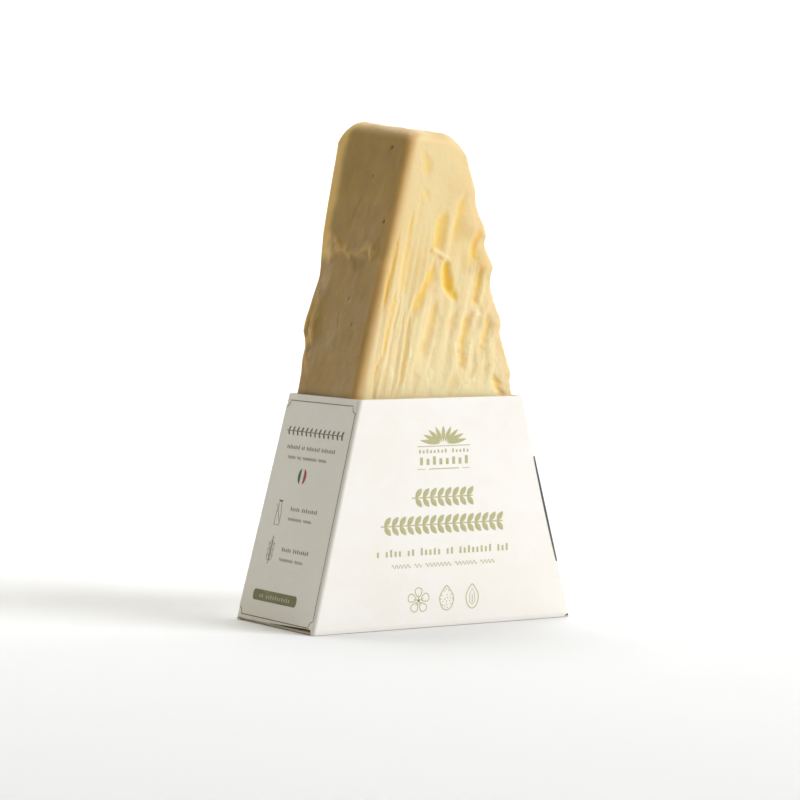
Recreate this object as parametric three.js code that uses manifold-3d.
// Wedge of aged hard cheese in an open card carton.
//
// The wedge stands with its narrow end up in a tapered tray of folded card that wraps its lower
// half. Its wide front face was broken, not cut, so ridges and gouges run down it along the grain.
// The narrow side faces are smoother. The card is one folded blank: four leaning walls, a floor
// that hangs from the front and back walls, and a slit under each side wall.
//
// Millimetres, +Z up, the wide face looks along -Y. The origin is under the middle of the carton.

import * as THREE from "three";
import Module from "manifold-3d";

const wasm = await Module();
wasm.setup();

// ---------------------------------------------------------------- driving dimensions

// Carton: outer sizes on the floor and at the open rim.
const CARTON_HEIGHT = 55;
const CARTON_BASE = { width: 74, depth: 36.9 };
const CARTON_RIM = { width: 46.6, depth: 33.6 };
const BOARD = 0.5; // thickness of the card
const FOLD_RADIUS = 0.8; // outside of the upright folds
const FOLD_STEPS = 5; // facets in each upright fold
const SLIT_HEIGHT = 0.6; // daylight between the floor and a side wall's lower edge
const SLIT_SHORTER = 2.6; // how far the slit stays from the front and back faces
const FLOOR_SHORTER = 0.8; // how far the floor's side edge stays inside the carton's outline

// Cheese: the wedge's size at three heights.
const CHEESE_FOOT = BOARD + 0.3; // the wedge rests just clear of the floor
const CHEESE_RIM = CARTON_HEIGHT;
const CHEESE_TOP = 118;
const PEAK = 119.9; // height of the top face at its middle
const TOP_FALL = { x: -0.1, y: 0.1 }; // slope of the top face along each axis

// The four upright corners of the wedge, as plan positions at its foot, at the rim and at its top.
const CORNERS = [
  { foot: [-35.6, -15.6], rim: [-22.6, -13.4], top: [-7.5, -14.0], round: 2.3 }, // front left
  { foot: [35.4, -17.2], rim: [21.9, -15.8], top: [8.1, -14.0], round: 2.8 }, // front right
  { foot: [35.4, 17.2], rim: [21.8, 15.6], top: [8.0, 12.6], round: 2.8 }, // back right
  { foot: [-35.5, 17.2], rim: [-21.9, 15.8], top: [-11.7, 13.6], round: 1.3 }, // back left
];

const ROUND_SHARE = 0.45; // a corner's rounding takes at most this share of a side's length

// Rounding of the top edge above each side, in the order front, right, back, left.
const EDGE_ROUND = [2.6, 6.8, 5.5, 3.8];

// Mesh density of the wedge.
const SIDE_STEPS = [30, 10, 16, 10]; // columns on the front, right, back and left
const CORNER_STEPS = 3;
const WALL_STEPS = { hidden: 3, shown: 34 }; // rows below and above the carton's rim
const SHOULDER_STEPS = 4;
const CAP_STEPS = 3;

// Broken grain: long ridges that lean with the left edge, in two sizes.
const GRAIN_LEAN = 0.2; // sideways run of a ridge for each millimetre of height
const RIDGES = [
  { pitch: 3.6, run: 19, height: 0.6 },
  { pitch: 1.8, run: 12, height: 0.36 },
];
const SIDE_WAVE = { pitch: 9, run: 14, height: 0.18, start: 40 }; // faint unevenness of the narrow faces
const BACK = { shift: 7, strength: 0.6 }; // the back repeats the front's relief, mirrored, lower and weaker
const RIM_FADE = 5; // the relief grows to full depth over this height above the rim

// Gouges and ledges of the front face. Both ends are [x, z]; a negative depth stands proud.
const GOUGES = [
  { from: [-4.4, 114.3], to: [-3.1, 109.8], width: 1.7, depth: 0.9 }, // notch near the top
  { from: [1.1, 100.0], to: [-1.2, 91.2], width: 1.7, depth: 0.9 },
  { from: [7.4, 103.5], to: [4.1, 91.0], width: 1.9, depth: 0.7 },
  { from: [10.6, 95.5], to: [9.1, 88.0], width: 1.5, depth: 0.9 },
  { from: [-6.8, 99.5], to: [-8.6, 89.0], width: 1.1, depth: 0.5 },
  { from: [-1.9, 90.6], to: [2.9, 88.7], width: 1.6, depth: -0.4 }, // ledge over the deepest gouge
  { from: [1.9, 86.0], to: [3.2, 79.0], width: 2.4, depth: 1.2 },
  { from: [-1.6, 87.5], to: [-7.2, 74.5], width: 2.8, depth: 0.9 },
  { from: [-0.7, 77.0], to: [-4.1, 64.0], width: 2.5, depth: 0.8 },
  { from: [8.7, 75.5], to: [6.0, 61.0], width: 2.3, depth: 1.2 },
  { from: [12.0, 86.5], to: [9.6, 76.0], width: 2.1, depth: 0.9 },
  { from: [13.9, 75.5], to: [12.1, 64.5], width: 1.8, depth: 0.9 },
  { from: [14.6, 60.5], to: [17.2, 56.6], width: 2.2, depth: 1.3 },
  { from: [4.4, 61.0], to: [2.3, 56.4], width: 1.6, depth: 0.7 },
  { from: [-17.5, 80.0], to: [-23.0, 53.0], width: 3.0, depth: 0.5 }, // the left edge is worn back above the rim
];

// Lumps down the front right edge, which scallop the outline, and one long one on the back left.
const RIGHT_LUMPS = [
  { z: 105, reach: 3.2, height: 0.5 },
  { z: 95, reach: 2.8, height: 1.2 },
  { z: 86.8, reach: 2.6, height: 1.3 },
  { z: 80.5, reach: 2.4, height: -0.3 },
  { z: 73.5, reach: 2.0, height: 0.8 },
  { z: 60.5, reach: 3.0, height: 0.7 },
];
const LEFT_LUMPS = [
  { z: 71, reach: 4.0, height: 1.1 },
  { z: 84, reach: 5.0, height: -0.7 },
];
const LUMP_SPREAD = 6; // how far a lump reaches along the side faces from its edge

// Finishes seen in daylight.
const CHEESE_COLOUR = "#f0d79b";
const CARD_COLOUR = "#f7f4ea";

// ---------------------------------------------------------------- small helpers

const lerp = (a, b, t) => a + (b - a) * t;
const lerpPoint = (p, q, t) => [lerp(p[0], q[0], t), lerp(p[1], q[1], t)];
const clamp01 = (t) => Math.min(1, Math.max(0, t));
const smooth = (t) => clamp01(t) ** 2 * (3 - 2 * clamp01(t));

// A fixed pseudo-random value between -1 and 1 for each whole-number grid corner.
function cornerValue(i, j) {
  const wave = Math.sin(i * 127.1 + j * 311.7) * 43758.5453;
  return 2 * (wave - Math.floor(wave)) - 1;
}

// Smooth noise between -1 and 1, with one bump for each unit of u and of v.
function noise(u, v) {
  const i = Math.floor(u);
  const j = Math.floor(v);
  const s = smooth(u - i);
  const near = lerp(cornerValue(i, j), cornerValue(i + 1, j), s);
  const far = lerp(cornerValue(i, j + 1), cornerValue(i + 1, j + 1), s);
  return lerp(near, far, smooth(v - j));
}

// A closed mesh from rings of equal length, with a fan at each end. Ring 0 is the lowest.
function loft(rings, lowMiddle, highMiddle) {
  const count = rings[0].length;
  const positions = rings.flat(2).concat(lowMiddle, highMiddle);
  const low = rings.length * count;
  const high = low + 1;
  const index = [];
  for (let k = 0; k < count; k++) {
    const next = (k + 1) % count;
    index.push(low, next, k);
    for (let r = 0; r + 1 < rings.length; r++) {
      const a = r * count + k;
      const b = r * count + next;
      index.push(a, b, b + count);
      index.push(a, b + count, a + count);
    }
    const last = (rings.length - 1) * count;
    index.push(last + k, last + next, high);
  }
  const geometry = new THREE.BufferGeometry();
  geometry.setAttribute("position", new THREE.Float32BufferAttribute(positions, 3));
  geometry.setIndex(index);
  return geometry;
}

// The same closed mesh as a solid for boolean work, and back again.
function solidFrom(geometry) {
  const vertProperties = new Float32Array(geometry.attributes.position.array);
  const triVerts = new Uint32Array(geometry.index.array);
  return new wasm.Manifold(new wasm.Mesh({ numProp: 3, vertProperties, triVerts }));
}

function geometryFrom(solid) {
  const { numProp, numVert, vertProperties, triVerts } = solid.getMesh();
  const positions = new Float32Array(numVert * 3);
  for (let v = 0; v < numVert; v++) {
    positions.set(vertProperties.subarray(v * numProp, v * numProp + 3), v * 3);
  }
  const geometry = new THREE.BufferGeometry();
  geometry.setAttribute("position", new THREE.BufferAttribute(positions, 3));
  geometry.setIndex(new THREE.BufferAttribute(triVerts, 1));
  return geometry;
}

function meshOf(name, geometry, material) {
  geometry.computeVertexNormals();
  const mesh = new THREE.Mesh(geometry, material);
  mesh.name = name;
  return mesh;
}

// ---------------------------------------------------------------- carton

// A rounded rectangle at one height, anticlockwise from the front left fold.
function roundedRing(width, depth, radius, z) {
  const ring = [];
  const signs = [[-1, -1], [1, -1], [1, 1], [-1, 1]];
  signs.forEach(([sx, sy], corner) => {
    const centre = [sx * (width / 2 - radius), sy * (depth / 2 - radius)];
    for (let k = 0; k <= FOLD_STEPS; k++) {
      const angle = Math.PI + (corner + k / FOLD_STEPS) * (Math.PI / 2);
      ring.push([centre[0] + radius * Math.cos(angle), centre[1] + radius * Math.sin(angle), z]);
    }
  });
  return ring;
}

// The carton's outline moved inwards by inset, from height low to height high.
function taperedBlock(inset, radius, low, high) {
  const ringAt = (z) => {
    const t = z / CARTON_HEIGHT;
    const width = lerp(CARTON_BASE.width, CARTON_RIM.width, t) - 2 * inset;
    const depth = lerp(CARTON_BASE.depth, CARTON_RIM.depth, t) - 2 * inset;
    return roundedRing(width, depth, radius, z);
  };
  return solidFrom(loft([ringAt(low), ringAt(high)], [0, 0, low], [0, 0, high]));
}

// A block that opens the foot of the side wall on the side of sign.
function sideSlit(sign) {
  const inner = CARTON_BASE.width / 2 - FLOOR_SHORTER;
  const reach = 2 * FLOOR_SHORTER;
  const size = [reach, CARTON_BASE.depth - 2 * SLIT_SHORTER, 2 * (BOARD + SLIT_HEIGHT)];
  return wasm.Manifold.cube(size, true).translate([sign * (inner + reach / 2), 0, 0]);
}

function buildCarton() {
  const outside = taperedBlock(0, FOLD_RADIUS, 0, CARTON_HEIGHT);
  const inside = taperedBlock(BOARD, FOLD_RADIUS - BOARD, BOARD, CARTON_HEIGHT + 1);
  const folded = outside.subtract(inside).subtract(sideSlit(-1)).subtract(sideSlit(1));
  const card = new THREE.MeshStandardMaterial({ color: CARD_COLOUR, roughness: 0.6, metalness: 0 });
  return meshOf("card_carton", geometryFrom(folded), card);
}

// ---------------------------------------------------------------- cheese

// The wedge's four corners at height z, moved inwards by an inset for each side.
function cornersAt(z, insets = [0, 0, 0, 0]) {
  const [front, right, back, left] = insets;
  const shifts = [[left, front], [-right, front], [-right, -back], [left, -back]];
  return CORNERS.map(({ foot, rim, top }, c) => {
    const plan =
      z < CHEESE_RIM
        ? lerpPoint(foot, rim, (z - CHEESE_FOOT) / (CHEESE_RIM - CHEESE_FOOT))
        : lerpPoint(rim, top, (z - CHEESE_RIM) / (CHEESE_TOP - CHEESE_RIM));
    return [plan[0] + shifts[c][0], plan[1] + shifts[c][1]];
  });
}

// The point where the straight part of a side ends, short of corner c on the way to corner d.
function beforeCorner(corners, c, d) {
  const away = [corners[d][0] - corners[c][0], corners[d][1] - corners[c][1]];
  const reach = Math.min(CORNERS[c].round / Math.hypot(...away), ROUND_SHARE);
  return lerpPoint(corners[c], corners[d], reach);
}

// The columns of the wedge: each lies on a side or on the rounding of a corner.
function listStations() {
  const stations = [];
  SIDE_STEPS.forEach((steps, side) => {
    for (let k = 0; k < steps; k++) {
      stations.push({ side, along: k / steps });
    }
    for (let k = 0; k < CORNER_STEPS; k++) {
      stations.push({ side, turn: k / CORNER_STEPS });
    }
  });
  return stations;
}

// A station's plan position between the four corners, without any relief.
function planPoint(station, corners) {
  const from = station.side;
  const to = (from + 1) % 4;
  const after = (from + 2) % 4;
  const start = beforeCorner(corners, from, to);
  const end = beforeCorner(corners, to, from);
  if (station.turn === undefined) {
    return lerpPoint(start, end, station.along);
  }
  const exit = beforeCorner(corners, to, after);
  const a = lerpPoint(end, corners[to], station.turn);
  const b = lerpPoint(corners[to], exit, station.turn);
  return lerpPoint(a, b, station.turn);
}

// How much of a side's own relief a station carries: all of it on the side, less round the corner.
function shareOfSide(station, side) {
  if (station.side === side) {
    return station.turn === undefined ? 1 : 1 - station.turn;
  }
  const follows = (station.side + 1) % 4 === side;
  return follows && station.turn !== undefined ? station.turn : 0;
}

// The depth of one gouge at a point of the front face.
function gougeDepth({ from, to, width, depth }, x, z) {
  const run = [to[0] - from[0], to[1] - from[1]];
  const t = clamp01(((x - from[0]) * run[0] + (z - from[1]) * run[1]) / (run[0] ** 2 + run[1] ** 2));
  const nearest = lerpPoint(from, to, t);
  const away = Math.hypot(x - nearest[0], z - nearest[1]) / width;
  return depth * (1 - smooth(away));
}

function frontRelief(x, z) {
  const across = x - GRAIN_LEAN * (z - CHEESE_RIM);
  const waves = RIDGES.map(({ pitch, run, height }) => height * noise(across / pitch, z / run));
  const cuts = GOUGES.map((gouge) => gougeDepth(gouge, x, z));
  return waves.reduce((sum, wave) => sum + wave, 0) - cuts.reduce((sum, cut) => sum + cut, 0);
}

function sideRelief(across, z) {
  return SIDE_WAVE.height * noise(across / SIDE_WAVE.pitch + SIDE_WAVE.start, z / SIDE_WAVE.run);
}

// Lumps of one upright edge, fading with the distance from that edge.
function lumpHeight(lumps, z, distance) {
  const fade = 1 - smooth(distance / LUMP_SPREAD);
  const bells = lumps.map((lump) => lump.height * Math.exp(-(((z - lump.z) / lump.reach) ** 2)));
  return fade * bells.reduce((sum, bell) => sum + bell, 0);
}

// The relief of the wedge at a station, outwards positive.
function reliefAt(station, [x, y], z, corners) {
  const grow = smooth((z - CHEESE_RIM) / RIM_FADE);
  const rough = frontRelief(x, z) * shareOfSide(station, 0);
  const roughBack = frontRelief(-x, z + BACK.shift) * shareOfSide(station, 2) * BACK.strength;
  const plain = sideRelief(y, z) * (shareOfSide(station, 1) + shareOfSide(station, 3));
  const toRight = Math.hypot(x - corners[1][0], y - corners[1][1]);
  const toLeft = Math.hypot(x - corners[3][0], y - corners[3][1]);
  const lumps = lumpHeight(RIGHT_LUMPS, z, toRight) + lumpHeight(LEFT_LUMPS, z, toLeft);
  return grow * (rough + roughBack + plain + lumps);
}

// A ring of plan positions at a height for each station, with the relief added.
function reliefRing(stations, corners, heights, strength) {
  const plan = stations.map((station) => planPoint(station, corners(station)));
  return plan.map(([x, y], k) => {
    const before = plan[(k + plan.length - 1) % plan.length];
    const next = plan[(k + 1) % plan.length];
    const along = [next[0] - before[0], next[1] - before[1]];
    const length = Math.hypot(...along);
    const out = [along[1] / length, -along[0] / length];
    const lift = strength * reliefAt(stations[k], [x, y], heights[k], corners(stations[k]));
    return [x + out[0] * lift, y + out[1] * lift, heights[k]];
  });
}

// How far a rounded edge has dropped at a distance inside it.
function edgeDrop(radius, distance) {
  const within = clamp01(1 - distance / radius);
  return radius * (1 - Math.sqrt(1 - within ** 2));
}

// The distance of a plan point inside the side from corner c to corner d.
function insideSide(corners, c, d, [x, y]) {
  const along = [corners[d][0] - corners[c][0], corners[d][1] - corners[c][1]];
  const offset = [x - corners[c][0], y - corners[c][1]];
  return (along[0] * offset[1] - along[1] * offset[0]) / Math.hypot(...along);
}

// Height of the domed top at a plan point.
function topHeight(point, corners) {
  const slope = TOP_FALL.x * point[0] + TOP_FALL.y * point[1];
  const drops = EDGE_ROUND.map((radius, side) =>
    edgeDrop(radius, insideSide(corners, side, (side + 1) % 4, point)),
  );
  return PEAK + slope - drops.reduce((sum, drop) => sum + drop, 0);
}

function buildCheese() {
  const stations = listStations();
  const topCorners = cornersAt(CHEESE_TOP);
  const edge = stations.map((station) => topHeight(planPoint(station, topCorners), topCorners));
  const rings = [];
  for (let row = 0; row < WALL_STEPS.hidden; row++) {
    const z = lerp(CHEESE_FOOT, CHEESE_RIM, row / WALL_STEPS.hidden);
    rings.push(stations.map((station) => [...planPoint(station, cornersAt(z)), z]));
  }
  for (let row = 0; row <= WALL_STEPS.shown; row++) {
    const heights = edge.map((top) => lerp(CHEESE_RIM, top, row / WALL_STEPS.shown));
    const cornersOf = new Map(stations.map((station, k) => [station, cornersAt(heights[k])]));
    rings.push(reliefRing(stations, (station) => cornersOf.get(station), heights, 1));
  }
  const wallTop = rings.at(-1);
  for (let step = 1; step <= SHOULDER_STEPS; step++) {
    const angle = (step / SHOULDER_STEPS) * (Math.PI / 2);
    const insets = EDGE_ROUND.map((radius) => radius * (1 - Math.cos(angle)));
    rings.push(shoulderRing(stations, insets, topCorners, wallTop, edge, Math.cos(angle)));
  }
  const middle = middleOf(rings.at(-1), topCorners);
  const brow = rings.at(-1);
  for (let step = 1; step <= CAP_STEPS; step++) {
    const shrink = 1 - step / (CAP_STEPS + 1);
    rings.push(brow.map((point) => capPoint(point, middle, shrink, topCorners)));
  }
  const cheese = new THREE.MeshStandardMaterial({ color: CHEESE_COLOUR, roughness: 0.5, metalness: 0 });
  return meshOf("cheese_wedge", loft(rings, [0, 0, CHEESE_FOOT], middle), cheese);
}

// A ring of the rounded top edge. It carries on from the leaning wall and loses its relief inwards.
function shoulderRing(stations, insets, topCorners, wallTop, edge, keep) {
  const levelCorners = cornersAt(CHEESE_TOP, insets);
  return stations.map((station, k) => {
    const height = topHeight(planPoint(station, levelCorners), topCorners);
    const plain = planPoint(station, cornersAt(height, insets));
    const foot = planPoint(station, cornersAt(edge[k]));
    const shift = [wallTop[k][0] - foot[0], wallTop[k][1] - foot[1]];
    const point = [plain[0] + shift[0] * keep, plain[1] + shift[1] * keep];
    return [...point, height];
  });
}

function middleOf(ring, corners) {
  const sum = ring.reduce((total, point) => [total[0] + point[0], total[1] + point[1]], [0, 0]);
  const plan = [sum[0] / ring.length, sum[1] / ring.length];
  return [...plan, topHeight(plan, corners)];
}

function capPoint(point, middle, shrink, corners) {
  const plan = lerpPoint(middle, point, shrink);
  return [...plan, topHeight(plan, corners)];
}

// ---------------------------------------------------------------- the part

const part = new THREE.Group();
part.add(buildCarton());
part.add(buildCheese());

export default part;
